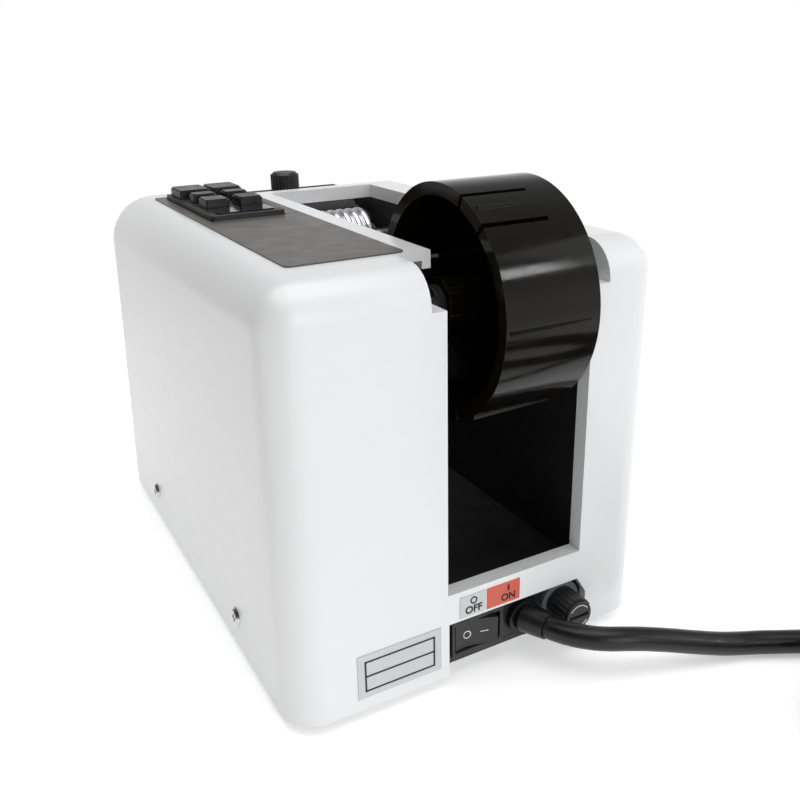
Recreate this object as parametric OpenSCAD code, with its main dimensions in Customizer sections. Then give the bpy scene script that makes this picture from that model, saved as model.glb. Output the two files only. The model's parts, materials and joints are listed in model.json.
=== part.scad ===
// Electric tape dispenser: a desk machine that feeds tape off a drum and cuts it to length.
// Millimetres, +Z up. X runs to the operator's right, Y to the rear, the floor is Z = 0.

/* [Case] */
// Width of the case over its side walls
case_w = 136; // [128:1:150]
// Length of the case along the floor
case_len = 210; // [204:1:225]
// Height of the case top above the floor
case_top = 141.5; // [139:0.5:150]
// Thickness of the moulded walls
wall = 3; // [2.5:0.1:3.5]
// Rounding of the case edges
edge_r = 12; // [8:0.5:14]
// Rounding where the front meets the top
front_top_r = 18; // [14:0.5:20]
// Angle at which the front leans back
front_lean = 7; // [4:0.5:9]
// Height of the rubber feet
foot_h = 4; // [3:0.5:6]
// Depth of the shelf in front of the roll bay below the case top
shelf_drop = 81.5; // [79.5:0.5:85.5]

/* [Roll bay] */
// Width of the control block beside the bay
block_w = 54.4; // [52:0.2:58]
// Width of the roll bay
bay_w = 54.1; // [52:0.1:56]
// Overhang of the top lip over the bay
lip_over = 7.4; // [5:0.1:9]
// Depth of the lips and flanges round the openings
lip_d = 5.5; // [4:0.5:6]
// Thickness of the two side frames
frame_t = 4; // [3.5:0.1:4.5]
// Height of the rear sill above the floor
sill_z = 35; // [34:0.5:38]

/* [Tape drum] */
// Radius of the drum that carries the tape core
drum_r = 37.5; // [34:0.5:38]
// Width of the drum
drum_w = 34; // [28:1:38]
// Thickness of the drum rim
rim_t = 4; // [3:0.5:5]
// Height of the gripping ribs
rib_h = 1; // [0.6:0.1:1.2]
// How far the drum stands out behind the case
drum_overhang = 10.5; // [8:0.5:13]
// Depth of the drum axle below the case top
axle_drop = 18.8; // [17.5:0.1:20.3]
// Radius of the drum axle
axle_r = 3; // [2.5:0.1:3.2]

/* [Feed] */
// Radius of the rubber feed roller
feed_r = 12; // [11:0.1:12.2]
// Radius of the pressure roller
press_r = 8; // [7:0.1:8.2]
// Radius of the grooved guide roller
guide_r = 13; // [11:0.1:13.5]
// Radius of the roller shafts
shaft_r = 3; // [2.6:0.1:3.2]
// Radius of the pulley on the feed shaft
big_pulley_r = 12; // [10:0.5:14]
// Radius of the pulley on the motor
small_pulley_r = 8; // [7:0.5:9]

/* [Cutter] */
// Rise of the moving blade
cut_stroke = 9; // [8:0.5:9.5]
// Thickness of each blade
blade_t = 1; // [0.8:0.1:1]

/* [Controls] */
// Width of the keypad
pad_w = 27.5; // [26.5:0.5:29]
// Length of the keypad
pad_len = 62; // [61:0.5:66]
// Height of the keys above the keypad
key_rise = 3.4; // [2.4:0.1:4]
// Travel of a key
key_travel = 1.2; // [0.8:0.1:1.5]
// Angle that the power rocker turns through
rocker_swing = 20; // [16:1:22]

/* [Cord] */
// Diameter of the power cord
cord_d = 8; // [7.5:0.1:8]

/* [Hidden] */
$fn = 48;
hull_fn = 32;
run = 0.05;
gap = 0.3;
eps = 0.01;

// Case limits
half_w = case_w / 2;
front_y = -(case_len + drum_overhang) / 2;
rear_y = front_y + case_len;
top_in = case_top - wall;
shelf_z = case_top - shelf_drop;
axle_z = case_top - axle_drop;
cut_y = front_y + 48.75;
bar_y = cut_y + 6;
bay_r = half_w - block_w;
bay_l = bay_r - bay_w;
bay_mid = (bay_r + bay_l) / 2;
lip_x = bay_r - lip_over;
lip_z = case_top - lip_d;
lip_end = rear_y - 21.75;
notch_x = 5;
notch_z = axle_z + 6.3;
rear_l = bay_l + 1.2;
ledge_y = rear_y - 13.75;

// Plates inside the case
base_t = 2;
base_top = foot_h + base_t;
panel_y = rear_y - 5;
panel_t = 2;
frame_top = lip_z - 0.5;
frame_rear = rear_y - 7.35;
frame_l = bay_l - frame_t;
frame_r = bay_r + frame_t;
floor_t = 3;
floor_z = sill_z - wall - 2 - floor_t;
screw_z = foot_h + 13;
screw_ys = [cut_y + 5, rear_y - 49.4];
screw_r = 2;
lug_w = 12;

// Drum and its inclined seat
drum_y = -front_y - drum_r - rib_h;
drum_x = bay_mid - 3.6;
drum_l = drum_x - drum_w / 2;
drum_end = drum_x + drum_w / 2;
hub_r = axle_r + 5;
seat_rise = 42;
collar_w = 3.4;
collar_r = axle_r + 3;
finger_at = 59;
finger_half = 10.3;
slot_w = 1.6;
slot_len = 23;

// Rollers, from the cut plane backwards
feed_y = cut_y - 8.5;
feed_z = case_top - 36.5;
tape_z = feed_z + feed_r;
press_z = tape_z + press_r + 0.4;
guide_y = bar_y + 17.5;
guide_z = case_top - 19.5;
guide_l = bay_l + 12.5;
guide_end = bay_r - 3.6;
rib_pitch = 4;
bush_r = shaft_r + 2;
arm_y = cut_y + 4;
arm_z = press_z + 0.6;
arm_pin_r = 2;
arm_t = 3;
press_pin_r = 2;
knob_x = bay_mid + 1.5;
knob_y = cut_y - 24;
knob_r = 6.4;
knob_h = 7.5;
arm_top = case_top - 4;

// Cutter, in front of the feed roller
plate_front = feed_y - feed_r - 5;
plate_t = 3;
blade_gap = 0.15;
moving_y = plate_front - blade_t - blade_gap;
crank_x = bay_mid;
crank_z = shelf_z + 17;
crank_r = 12;
crank_t = 3;
crank_throw = cut_stroke;
crank_rest = -30;
crank_front = plate_front - 7.4;
pin_r = 2;
pin_x = crank_x + crank_throw * cos(crank_rest);
pin_z = crank_z + crank_throw * sin(crank_rest);
carrier_t = 3;
carrier_y = crank_front - gap;
carrier_w = 42;
post_r = 2;
post_x = 17.5;
post_y = carrier_y - carrier_t / 2;
boss_r = 4.5;
cover_front = post_y - boss_r - 3.3;
cover_t = 2.5;
cover_drop = 5;
blade_foot = 7;
carrier_rise = 5;

// Drive in the control block
belt_l = frame_r + 2.4;
pulley_w = 8;
motor_y = feed_y + 30;
motor_z = feed_z - 35;
motor_r = 17;
motor_len = 22;
motor_face = belt_l + pulley_w + 6;
belt_t = 1.6;
bracket_t = 3;

// Transformer at the rear of the control block, and the spacers between the frames
core_y = rear_y - 51;
core_w = 30;
core_l = 42;
core_h = 34;
winding_l = 24;
winding_out = 3;
spacer_r = 4;
spacer_z = base_top + 2.5 * spacer_r;
spacer_ys = [cut_y + 20, 0, rear_y - 45];

// Controls on the block
plate_l = bay_r + 0.6;
plate_r = half_w - 16;
plate_back = rear_y - 22.75;
plate_h = 0.5;
plate_edge = 4;
pad_x = bay_r + 20.65;
pad_back = cut_y + 59.5;
pad_y = pad_back - pad_len / 2;
plate_y0 = pad_back - pad_len - plate_edge;
pad_top = case_top + 2.2;
pad_bottom = top_in - 6;
pad_lip = 2;
key_gap = 0.25;
key_len = 9;
board_t = 1.6;
board_z = pad_bottom - 6;
contact_h = pad_top + key_rise - key_len - key_travel - gap - board_z - board_t;
// Three rows of keys between the window at the back of the pad and its front edge
window_in = 3;
window_len = 10;
row_gap = 2.5;
pad_edge = 3.2;
row_len = [10, 7, 14.5];
row_1 = pad_len / 2 - window_in - window_len - row_gap - row_len[0] / 2;
row_3 = pad_edge + row_len[2] / 2 - pad_len / 2;
row_2 = (row_1 - row_len[0] / 2 + row_3 + row_len[2] / 2) / 2;
// Each key: offset from the pad's middle in x and y, then its width and length
keys = [[-6.4, row_1, 9, row_len[0]], [6.4, row_1, 9, row_len[0]],
        [-6.2, row_2, 9, row_len[1]], [6.2, row_2, 9, row_len[1]],
        [-6.5, row_3, 12, row_len[2]], [6.5, row_3, 12, row_len[2]]];

// Rear connections
cut_l = bay_l - 2.5;
cut_r = bay_r - 0.4;
cut_top = foot_h + 20;
switch_x = bay_r - 13.5;
switch_z = foot_h + 10.35;
switch_w = 20.2;
switch_h = 14;
rocker_pin_r = 1;
rocker_y = panel_y - 2.2;
gland_x = bay_r - 33.1;
gland_z = foot_h + 9.7;
gland_r = 6;
boot_tilt = 20;
boot_len = 9;
boot_y = panel_y + 2.2;
boot_way = [-sin(boot_tilt), cos(boot_tilt), 0];
boot_end = [gland_x, boot_y, gland_z] + boot_len * boot_way;
fuse_x = bay_r - 48.1;
fuse_z = foot_h + 10.5;
fuse_r = 6;
fuse_flange = 1.8;

// Free cord: route by hand from the boot to the coil, measured from the rear of the case
cord_z = 4.2;
route_from_rear = [[-24.79, 10.4, 13.75], [-27.79, 14.68, 13.8], [-31.49, 18.38, 13.8],
                   [-35.77, 21.38, 13.7], [-40.51, 23.59, 13.4], [-46, 25.45, 12.5],
                   [-52, 27.45, 11.2], [-58, 29.4, 9.7], [-64, 31.35, 8.1], [-70, 33.3, 6.6],
                   [-76, 35.25, 5.3], [-82, 37.25, 4.5], [-88, 39.85, cord_z],
                   [-95, 43.65, cord_z]];
route = [for (p = route_from_rear) p + [0, rear_y, 0]];
// Tied coil, a plain ring round two layers of turns: centre lines of its inner and outer turns
coil_at = [-110, rear_y + 113.25];
coil_in = 33;
coil_out = 55.2;
coil_rise = 8.6;
coil_gap = 0.3;
ring_in = coil_in - cord_d / 2;
ring_out = coil_out + cord_d / 2;
ring_z = cord_z - cord_d / 2;
ring_h = coil_rise + cord_d;
// The cord comes in along the outer turn and stops at the ring's side
coil_start = 244;
coil_lead = sqrt(pow(ring_out + coil_gap, 2) - pow(coil_out - cord_d / 2, 2));
function heading(a) = [sin(a), -cos(a), 0];
function on_coil(r, a, z) = [coil_at[0] + r * cos(a), coil_at[1] + r * sin(a), z];
cord_join = on_coil(coil_out, coil_start, cord_z) - coil_lead * heading(coil_start);
// Its first ring is square to the boot's end
cord_points = concat([boot_end, boot_end + cord_d / 4 * boot_way], route, [cord_join]);
// The plug lies flat on the coil
plug_turn = 40;
plug_len = 28;
plug_grip = 20;
plug_w = 25;
plug_h = 17;
plug_z = ring_z + ring_h + coil_gap + plug_h / 2;
plug_at = on_coil((coil_in + coil_out) / 2, plug_turn, plug_z) - plug_len / 2 * heading(plug_turn);
prong_len = 15;
prong_w = 6.4;
prong_t = 1.5;
prong_apart = 12.7;

// Box between two corners
module box(low, high) {
    translate(low)
        cube(high - low);
}

// Cylinder along +X from x0 to x1
module rod_x(r, x0, x1, y, z) {
    translate([x0, y, z])
        rotate([0, 90, 0])
            cylinder(r = r, h = x1 - x0);
}

// Cylinder along +Y from y0 to y1
module rod_y(r, y0, y1, x, z) {
    translate([x, y0, z])
        rotate([-90, 0, 0])
            cylinder(r = r, h = y1 - y0);
}

// Plate with its outline in Y and Z, from x0 to x1
module side_plate(x0, x1) {
    translate([x0, 0, 0])
        rotate([90, 0, 90])
            linear_extrude(x1 - x0)
                children();
}

// Upright block with round corners, centred on x and y
module round_block(w, l, r, z0, z1) {
    translate([-w / 2 + r, -l / 2, z0])
        cube([w - 2 * r, l, z1 - z0]);
    translate([-w / 2, -l / 2 + r, z0])
        cube([w, l - 2 * r, z1 - z0]);
    for (sx = [-1, 1])
        for (sy = [-1, 1])
            translate([sx * (w / 2 - r), sy * (l / 2 - r), z0])
                cylinder(r = r, h = z1 - z0);
}

// Rounded case volume, drawn in by inset on every side
module case_volume(inset) {
    fix = 1 / cos(180 / hull_fn);
    lean_back = (case_top - front_top_r - foot_h) * tan(front_lean);
    hull()
        for (side = [-1, 1]) {
            translate([side * (half_w - edge_r), rear_y - edge_r, foot_h - inset])
                cylinder(r = edge_r - inset, h = 1, $fn = hull_fn);
            translate([side * (half_w - edge_r), rear_y - edge_r, case_top - edge_r])
                sphere(r = (edge_r - inset) * fix, $fn = hull_fn);
            translate([side * (half_w - edge_r), front_y + edge_r, foot_h - inset])
                cylinder(r = edge_r - inset, h = 1, $fn = hull_fn);
            translate([side * (half_w - front_top_r), front_y + front_top_r + lean_back,
                       case_top - front_top_r])
                sphere(r = (front_top_r - inset) * fix, $fn = hull_fn);
        }
}

// Walls that close the case round the bay, the notches and the shelf
module inner_walls() {
    far = 2 * case_len;
    box([-half_w, -far, shelf_z - wall], [bay_r - gap, cut_y + wall, shelf_z]);
    box([-half_w, cut_y, shelf_z - wall], [frame_l - gap, cut_y + wall, case_top]);
    box([bay_l - wall, cut_y, lip_z], [bay_r, bar_y, case_top]);
    box([lip_x, cut_y, lip_z], [lip_x + wall, lip_end, case_top]);
    box([bay_l - wall, cut_y, lip_z], [bay_l, lip_end, case_top]);
    for (x = [rear_l - wall, bay_r])
        box([x, rear_y - lip_d, sill_z - wall], [x + wall, rear_y, notch_z]);
    box([rear_l - wall, rear_y - lip_d, sill_z - wall], [bay_r + wall, rear_y, sill_z]);
    box([bay_r, ledge_y, notch_z - wall], [bay_r + notch_x + wall, rear_y, notch_z]);
    box([bay_l - notch_x - wall, ledge_y, notch_z - wall], [rear_l, rear_y, notch_z]);
    for (x = [bay_r + notch_x, bay_l - notch_x - wall])
        box([x, lip_end - wall, notch_z - wall], [x + wall, rear_y, case_top]);
}

module housing() {
    out = 20;
    color("white")
        difference() {
            union() {
                difference() {
                    case_volume(0);
                    case_volume(wall);
                    box([bay_l, bar_y, notch_z], [lip_x, rear_y + out, case_top + out]);
                    box([rear_l, rear_y - out, sill_z], [bay_r, rear_y + out, case_top + out]);
                    box([-half_w - out, front_y - out, shelf_z],
                        [bay_r - eps, cut_y, case_top + out]);
                }
                intersection() {
                    case_volume(0);
                    inner_walls();
                }
            }
            // Notches for the axle ends, open to the top and the rear
            box([bay_l - notch_x, lip_end, notch_z], [bay_r + notch_x, rear_y + out, case_top + out]);
            // Cut-out for the rear panel, with a sloping far corner
            rotate([90, 0, 0])
                translate([0, 0, -rear_y - out])
                    linear_extrude(out + wall + 1)
                        polygon([[cut_l, foot_h - out], [cut_r, foot_h - out], [cut_r, cut_top],
                                 [cut_l + 4, cut_top], [cut_l, cut_top - 6.5]]);
            // Well for the keypad
            box([pad_x - pad_w / 2 - gap, pad_y - pad_len / 2 - gap, top_in - 1],
                [pad_x + pad_w / 2 + gap, pad_y + pad_len / 2 + gap, case_top + 1]);
            for (y = screw_ys)
                rod_x(screw_r + run, -half_w - 1, half_w + 1, y, screw_z);
        }
}

module base_plate() {
    in = wall + gap;
    color("dimgray")
        difference() {
            union() {
                intersection() {
                    case_volume(in);
                    box([-half_w, front_y, foot_h], [half_w, panel_y - panel_t - run, base_top]);
                }
                for (side = [-1, 1])
                    for (y = screw_ys)
                        translate([side * (half_w - in - base_t / 2), y, 0])
                            box([-base_t / 2, -lug_w / 2, base_top - 1],
                                [base_t / 2, lug_w / 2, screw_z + lug_w / 2]);
            }
            for (y = screw_ys)
                rod_x(screw_r, -half_w, half_w, y, screw_z);
        }
}

module feet() {
    color("black")
        for (side = [-1, 1])
            for (y = [front_y + 26, rear_y - 20])
                translate([side * (half_w - 16), y, 0])
                    cylinder(r1 = 7, r2 = 8, h = foot_h);
}

module case_screws() {
    color("silver")
        for (side = [0, 180])
            for (y = screw_ys)
                translate([0, y, screw_z])
                    rotate([0, 0, side])
                        rotate([0, 90, 0]) {
                            translate([0, 0, half_w - wall - base_t - gap])
                                cylinder(r = screw_r, h = wall + base_t + gap);
                            difference() {
                                translate([0, 0, half_w])
                                    cylinder(r1 = 3.6, r2 = 2.8, h = 1.2);
                                for (a = [0, 90])
                                    rotate([0, 0, a])
                                        translate([-1.8, -0.4, half_w + 0.6])
                                            cube([3.6, 0.8, 1]);
                            }
                        }
}

module rear_panel() {
    color([0.15, 0.15, 0.15])
        difference() {
            box([cut_l - wall, panel_y - panel_t, foot_h + gap], [bay_r + 2.4, panel_y, cut_top + wall]);
            box([switch_x - switch_w / 2 + 0.5, panel_y - 5, switch_z - switch_h / 2 + 0.4],
                [switch_x + switch_w / 2 - 0.5, panel_y + 1, switch_z + switch_h / 2 - 0.4]);
            rod_y(gland_r, panel_y - 5, panel_y + 1, gland_x, gland_z);
            rod_y(fuse_r, panel_y - 5, panel_y + 1, fuse_x, fuse_z);
        }
}

// Outline of a side frame with its inclined seat for the axle
module frame_outline() {
    difference() {
        polygon([[cut_y + wall + gap, base_top], [frame_rear, base_top],
                 [frame_rear, notch_z - wall - 0.7], [drum_y + 2.3, notch_z - wall - 0.7],
                 [drum_y + 2.3, frame_top], [feed_y - 10, frame_top],
                 [plate_front - 4, tape_z + 1], [plate_front - 8, shelf_z],
                 [cut_y + wall + gap, shelf_z]]);
        translate([drum_y, axle_z]) {
            circle(r = axle_r + run);
            rotate(seat_rise)
                translate([0, -axle_r - 3 * run])
                    square([40, 2 * (axle_r + 3 * run)]);
        }
        translate([feed_y, feed_z])
            circle(r = bush_r);
        translate([guide_y, guide_z])
            circle(r = shaft_r);
        translate([arm_y, arm_z])
            circle(r = arm_pin_r);
    }
}

module right_frame() {
    color([0.08, 0.08, 0.08])
        side_plate(bay_r, frame_r)
            frame_outline();
}

module left_frame() {
    color([0.08, 0.08, 0.08])
        side_plate(frame_l, bay_l)
            frame_outline();
}

module bay_floor() {
    color([0.08, 0.08, 0.08])
        box([bay_l, cut_y + 12, floor_z], [bay_r, frame_rear, floor_z + floor_t]);
}

module frame_spacers() {
    color("silver")
        for (y = spacer_ys)
            rod_x(spacer_r, bay_l, bay_r, y, spacer_z);
}

module name_plate() {
    color([0.42, 0.4, 0.36])
        difference() {
            translate([(plate_l + plate_r) / 2, (plate_y0 + plate_back) / 2, 0])
                round_block(plate_r - plate_l, plate_back - plate_y0, 2, case_top, case_top + plate_h);
            box([pad_x - pad_w / 2 - gap, pad_y - pad_len / 2 - gap, case_top - 1],
                [pad_x + pad_w / 2 + gap, pad_y + pad_len / 2 + gap, case_top + 2]);
        }
}

// Flat plate on the rear face of the case
module rear_plate(x0, x1, z0, z1) {
    box([x0, rear_y, z0], [x1, rear_y + 0.3, z1]);
}

module rating_plate() {
    color("gainsboro")
        rear_plate(cut_r + 3.2, cut_r + 33.1, foot_h + 4.5, foot_h + 20.4);
}

module off_label() {
    color("gainsboro")
        rear_plate(switch_x - 1.2, cut_r - 3.9, cut_top + 1, cut_top + 8.8);
}

module on_label() {
    color([0.8, 0.36, 0.3])
        rear_plate(switch_x - 14.3, switch_x - 1.3, cut_top + 1, cut_top + 8.8);
}

module keypad_frame() {
    color([0.1, 0.1, 0.1])
        translate([pad_x, pad_y, 0])
            difference() {
                union() {
                    round_block(pad_w, pad_len, 1.5, pad_bottom, pad_top);
                    round_block(pad_w + 2 * pad_lip, pad_len + 2 * pad_lip, 1.5, top_in - 2, top_in);
                    for (sx = [-1, 1])
                        for (sy = [-1, 1])
                            translate([sx * (pad_w / 2 - 2), sy * (pad_len / 2 - 2), board_z + board_t])
                                cylinder(r = 1.8, h = pad_bottom - board_z - board_t + 1);
                }
                for (k = keys)
                    translate([k[0], k[1], 0])
                        round_block(k[2] + 2 * key_gap, k[3] + 2 * key_gap, 1.2,
                                    pad_bottom - 1, pad_top + 1);
            }
}

module display_window() {
    color([0.03, 0.03, 0.04])
        translate([pad_x, pad_back - window_in - window_len / 2, 0])
            round_block(pad_w - 2 * window_in, window_len, 1, pad_top, pad_top + 0.5);
}

module key(n) {
    k = keys[n - 1];
    color([0.06, 0.06, 0.06])
        translate([pad_x + k[0], pad_y + k[1], 0]) {
            round_block(k[2], k[3], 1, pad_top + key_rise - key_len, pad_top + key_rise - 0.6);
            round_block(k[2] - 1, k[3] - 1, 0.8, pad_top, pad_top + key_rise);
        }
}

module key_1() { key(1); }

module key_2() { key(2); }

module key_3() { key(3); }

module key_4() { key(4); }

module key_5() { key(5); }

module key_6() { key(6); }

module control_board() {
    color("darkgreen") {
        box([pad_x - pad_w / 2 - 2, pad_y - pad_len / 2 - 2, board_z],
            [pad_x + pad_w / 2 + 8, pad_y + pad_len / 2 + 2, board_z + board_t]);
        for (k = keys)
            translate([pad_x + k[0] - 2.5, pad_y + k[1] - 2.5, board_z + board_t])
                cube([5, 5, contact_h]);
    }
}

module transformer() {
    x = frame_r + 8;
    color("dimgray") {
        box([x, core_y - core_l / 2, base_top], [x + core_w, core_y + core_l / 2, base_top + core_h]);
        box([x - winding_out, core_y - winding_l / 2, base_top],
            [x + core_w + winding_out, core_y + winding_l / 2, base_top + core_h - 2 * winding_out]);
    }
}

module feed_motor() {
    color("slategray")
        difference() {
            rod_x(motor_r, motor_face + bracket_t, motor_face + bracket_t + motor_len, motor_y, motor_z);
            rod_x(4, motor_face - 1, motor_face + bracket_t + 2, motor_y, motor_z);
        }
}

module motor_bracket() {
    color("silver")
        difference() {
            union() {
                box([motor_face, motor_y - motor_r - bracket_t, base_top],
                    [motor_face + bracket_t, motor_y + motor_r + bracket_t, motor_z + motor_r + 2]);
                box([motor_face, motor_y - motor_r - bracket_t, base_top],
                    [motor_face + motor_len, motor_y + motor_r + bracket_t, base_top + bracket_t]);
            }
            rod_x(4, motor_face - 1, motor_face + bracket_t + 1, motor_y, motor_z);
        }
}

// Belt pulley on the X axis with a flange at each side
module pulley(r, bore, y, z) {
    difference() {
        union() {
            rod_x(r, belt_l, belt_l + pulley_w, y, z);
            for (x = [belt_l, belt_l + pulley_w - 1])
                rod_x(r + belt_t + 1, x, x + 1, y, z);
        }
        if (bore > 0)
            rod_x(bore, belt_l - 1, belt_l + pulley_w + 1, y, z);
    }
}

module motor_pulley() {
    color("dimgray") {
        pulley(small_pulley_r, 0, motor_y, motor_z);
        rod_x(2.5, belt_l + pulley_w - 1, motor_face + bracket_t + 2 - gap, motor_y, motor_z);
    }
}

module roller_pulley() {
    color("dimgray")
        pulley(big_pulley_r, shaft_r, feed_y, feed_z);
}

// Two circles joined by their outer tangents, round the two pulleys
module belt_outline(grow) {
    r1 = big_pulley_r + grow;
    r2 = small_pulley_r + grow;
    d = [motor_y - feed_y, motor_z - feed_z];
    at = atan2(d[1], d[0]);
    lap = acos((r1 - r2) / norm(d));
    translate([feed_y, feed_z])
        circle(r = r1);
    translate([motor_y, motor_z])
        circle(r = r2);
    polygon([[feed_y + r1 * cos(at + lap), feed_z + r1 * sin(at + lap)],
             [motor_y + r2 * cos(at + lap), motor_z + r2 * sin(at + lap)],
             [motor_y + r2 * cos(at - lap), motor_z + r2 * sin(at - lap)],
             [feed_y + r1 * cos(at - lap), feed_z + r1 * sin(at - lap)]]);
}

module drive_belt() {
    color("black")
        side_plate(belt_l + 1 + gap, belt_l + pulley_w - 1 - gap)
            difference() {
                belt_outline(belt_t);
                belt_outline(0.1);
            }
}

module feed_shaft() {
    color("silver")
        rod_x(shaft_r, frame_l - 1, belt_l + pulley_w + 1, feed_y, feed_z);
}

module feed_roller() {
    color([0.2, 0.2, 0.2])
        difference() {
            rod_x(feed_r, bay_l + 3, bay_r - 3, feed_y, feed_z);
            rod_x(shaft_r, bay_l, bay_r, feed_y, feed_z);
        }
}

module feed_bushes() {
    color("peru")
        for (x = [frame_l, bay_r])
            difference() {
                rod_x(bush_r, x, x + frame_t, feed_y, feed_z);
                rod_x(shaft_r + run, x - 1, x + frame_t + 1, feed_y, feed_z);
            }
}

module guide_shaft() {
    color("silver")
        rod_x(shaft_r, frame_l, frame_r, guide_y, guide_z);
}

module guide_roller() {
    rib_r = 1.75;
    n = floor((guide_end - guide_l) / rib_pitch);
    color("gainsboro")
        translate([guide_l, guide_y, guide_z])
            rotate([0, 90, 0])
                rotate_extrude()
                    difference() {
                        union() {
                            square([guide_r - rib_r, n * rib_pitch]);
                            for (i = [0:n - 1])
                                translate([guide_r - rib_r, (i + 0.5) * rib_pitch])
                                    circle(r = rib_r, $fn = 24);
                        }
                        translate([0, -1])
                            square([shaft_r + run, n * rib_pitch + 2]);
                    }
}

module guide_collars() {
    n = floor((guide_end - guide_l) / rib_pitch);
    color("black")
        for (x = [guide_l - gap - 4, guide_l + n * rib_pitch + gap])
            difference() {
                rod_x(shaft_r + 3, x, x + (x < bay_mid ? 4 : 2.5), guide_y, guide_z);
                rod_x(shaft_r, x - 1, x + 5, guide_y, guide_z);
            }
}

module arm_pivot() {
    color("silver")
        rod_x(arm_pin_r, frame_l, frame_r, arm_y, arm_z);
}

// Side of the pressure arm: low behind, to swing under the cross bar
module arm_outline() {
    difference() {
        union() {
            translate([arm_y, arm_z])
                circle(r = 4.5);
            polygon([[arm_y, arm_z - 4.5], [arm_y - 3.5, arm_z + 3.5], [arm_y - 11.5, arm_z + 5.5],
                     [arm_y - 17.5, arm_top], [knob_y - 7.5, arm_top], [knob_y - 7.5, arm_top - 4.5],
                     [feed_y - 9, arm_z - 4.5]]);
        }
        translate([arm_y, arm_z])
            circle(r = arm_pin_r + run);
        translate([feed_y, press_z])
            circle(r = press_pin_r);
    }
}

module pressure_arm() {
    color([0.1, 0.1, 0.1])
        difference() {
            union() {
                side_plate(bay_l + 1, bay_l + 1 + arm_t)
                    arm_outline();
                side_plate(bay_r - 1 - arm_t, bay_r - 1)
                    arm_outline();
                box([bay_l + 1, knob_y - 7.5, arm_top - 3], [bay_r - 1, arm_y - 18, arm_top]);
            }
            translate([knob_x, knob_y, arm_top - 10])
                cylinder(r = 2.5, h = 20);
        }
}

module pressure_shaft() {
    color("silver")
        rod_x(press_pin_r, bay_l + 1, bay_r - 1, feed_y, press_z);
}

module pressure_roller() {
    color([0.2, 0.2, 0.2])
        difference() {
            rod_x(press_r, bay_l + 1 + arm_t + gap, bay_r - 1 - arm_t - gap, feed_y, press_z);
            rod_x(press_pin_r + run, bay_l, bay_r, feed_y, press_z);
        }
}

module pressure_knob() {
    ribs = 24;
    color([0.1, 0.1, 0.1])
        translate([knob_x, knob_y, arm_top]) {
            difference() {
                cylinder(r = knob_r, h = knob_h);
                for (i = [0:ribs - 1])
                    rotate([0, 0, i * 360 / ribs])
                        translate([knob_r + 0.3, 0, 1.5])
                            cylinder(r = 0.6, h = knob_h);
            }
            translate([0, 0, knob_h])
                cylinder(r1 = knob_r - 0.4, r2 = knob_r - 1.4, h = 1);
            translate([0, 0, -3])
                cylinder(r = 2.5, h = 4);
        }
}

module outlet_plate() {
    color([0.1, 0.1, 0.1])
        difference() {
            box([bay_l, plate_front, shelf_z], [bay_r, plate_front + plate_t, tape_z - 2]);
            rod_y(2.5 + run, plate_front - 1, plate_front + plate_t + 1, crank_x, crank_z);
        }
}

module fixed_blade() {
    color("silver")
        box([bay_mid - 22.5, plate_front - blade_t, tape_z - 19],
            [bay_mid + 22.5, plate_front, tape_z - 1]);
}

// Moving blade with a row of teeth on its upper edge
module moving_blade() {
    teeth = 16;
    w = 41;
    pitch = w / teeth;
    top = tape_z - 4;
    color("silver")
        translate([crank_x - w / 2, moving_y, 0])
            rotate([90, 0, 0])
                linear_extrude(blade_t)
                    union() {
                        translate([0, crank_z + blade_foot])
                            square([w, top - 1.5 - crank_z - blade_foot]);
                        for (i = [0:teeth - 1])
                            polygon([[i * pitch, top - 1.6], [(i + 1) * pitch, top - 1.6],
                                     [(i + 0.5) * pitch, top]]);
                    }
}

module blade_carrier() {
    half = carrier_w / 2;
    shelf = crank_z + crank_r + carrier_rise;
    color("slategray")
        difference() {
            union() {
                box([crank_x - half, carrier_y - carrier_t, pin_z - 5],
                    [crank_x + half, carrier_y, shelf + 4]);
                box([crank_x - half, carrier_y - carrier_t, shelf],
                    [crank_x + half, moving_y - blade_t, shelf + 4]);
                for (side = [-1, 1])
                    translate([crank_x + side * post_x, post_y, pin_z - 2])
                        cylinder(r = boss_r, h = 20);
            }
            for (side = [-1, 1])
                translate([crank_x + side * post_x, post_y, pin_z - 10])
                    cylinder(r = post_r + run, h = 60);
            // Slot that the crank pin lifts by
            for (x = [pin_x - 0.4, crank_x + crank_throw + 0.4])
                rod_y(pin_r + 0.2, carrier_y - carrier_t - 1, carrier_y + 1, x, pin_z);
            box([pin_x - 0.4, carrier_y - carrier_t - 1, pin_z - pin_r - 0.2],
                [crank_x + crank_throw + 0.4, carrier_y + 1, pin_z + pin_r + 0.2]);
        }
}

module guide_posts() {
    color("silver")
        for (side = [-1, 1])
            translate([crank_x + side * post_x, post_y, shelf_z])
                cylinder(r = post_r, h = tape_z - 5 - shelf_z);
}

module crank_disc() {
    color("dimgray") {
        rod_y(crank_r, crank_front, crank_front + crank_t, crank_x, crank_z);
        rod_y(pin_r, carrier_y - carrier_t, crank_front + 1, pin_x, pin_z);
        rod_y(2.5, crank_front + 1, plate_front + plate_t + 3, crank_x, crank_z);
    }
}

module cutter_motor() {
    back = plate_front + plate_t;
    color("slategray")
        difference() {
            rod_y(crank_r, back, cut_y - 2, crank_x, crank_z);
            rod_y(2.5 + run, back - 1, back + 4, crank_x, crank_z);
        }
}

module front_cover() {
    color([0.1, 0.1, 0.1])
        difference() {
            box([bay_l + gap, cover_front, shelf_z], [bay_r - gap, plate_front, tape_z - cover_drop]);
            box([bay_l + gap + cover_t, cover_front + cover_t, shelf_z - 1],
                [bay_r - gap - cover_t, plate_front + 1, tape_z]);
        }
}

module wheel_axle() {
    color("silver")
        rod_x(axle_r, frame_l, frame_r - gap, drum_y, axle_z);
}

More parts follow.
